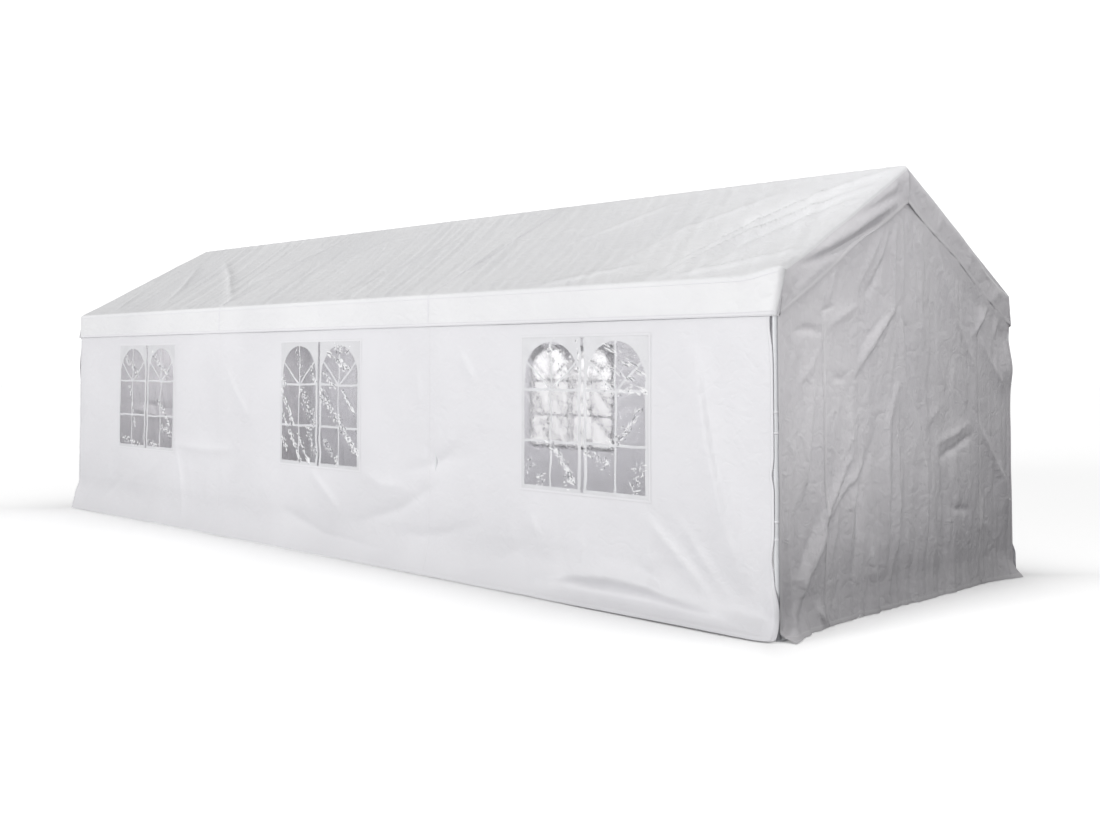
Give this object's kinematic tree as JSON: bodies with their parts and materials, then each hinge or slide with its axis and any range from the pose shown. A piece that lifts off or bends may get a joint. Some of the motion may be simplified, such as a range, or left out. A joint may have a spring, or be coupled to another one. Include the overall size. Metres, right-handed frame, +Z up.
{
  "type": "marquee tent",
  "caption": "Long gabled party marquee: steel tube arches under a white fabric roof with a valance, windowed side walls and end walls with zipped doors.",
  "frame": {"origin": "on the ground, under the middle of the tent", "axes": "+X along the ridge towards the right-hand end wall of the picture, +Y from the front side wall to the back one, +Z up"},
  "size_m": [9.0998, 3.0998, 2.8705],
  "materials": {
    "white_tube": "satin white powder coat",
    "zinc_connector": "zinc coated",
    "roof_cloth": "coated woven sheet, satin",
    "wall_cloth": "coated woven sheet, satin",
    "clear_film": "clear crinkled film with white printed glazing bars"
  },
  "bodies": {
    "root": {"leg_front_1": "white_tube", "leg_front_2": "white_tube", "leg_front_3": "white_tube", "leg_front_4": "white_tube", "rafter_front_1": "white_tube", "rafter_front_2": "white_tube", "rafter_front_3": "white_tube", "rafter_front_4": "white_tube", "eave_connector_front_1": "zinc_connector", "eave_connector_front_2": "zinc_connector", "eave_connector_front_3": "zinc_connector", "eave_connector_front_4": "zinc_connector", "eave_tube_front_1": "white_tube", "eave_tube_front_2": "white_tube", "eave_tube_front_3": "white_tube", "leg_back_1": "white_tube", "leg_back_2": "white_tube", "leg_back_3": "white_tube", "leg_back_4": "white_tube", "rafter_back_1": "white_tube", "rafter_back_2": "white_tube", "rafter_back_3": "white_tube", "rafter_back_4": "white_tube", "eave_connector_back_1": "zinc_connector", "eave_connector_back_2": "zinc_connector", "eave_connector_back_3": "zinc_connector", "eave_connector_back_4": "zinc_connector", "eave_tube_back_1": "white_tube", "eave_tube_back_2": "white_tube", "eave_tube_back_3": "white_tube", "ridge_connector_1": "zinc_connector", "ridge_connector_2": "zinc_connector", "ridge_connector_3": "zinc_connector", "ridge_connector_4": "zinc_connector", "ridge_tube_1": "white_tube", "ridge_tube_2": "white_tube", "ridge_tube_3": "white_tube", "roof_cover": "roof_cloth", "side_wall_front": "wall_cloth", "window_front_1": "clear_film", "window_front_2": "clear_film", "window_front_3": "clear_film", "side_wall_back": "wall_cloth", "window_back_1": "clear_film", "window_back_2": "clear_film", "window_back_3": "clear_film", "end_wall_left": "wall_cloth", "door_left": "wall_cloth", "end_wall_right": "wall_cloth", "door_right": "wall_cloth"}
  },
  "joints": []
}
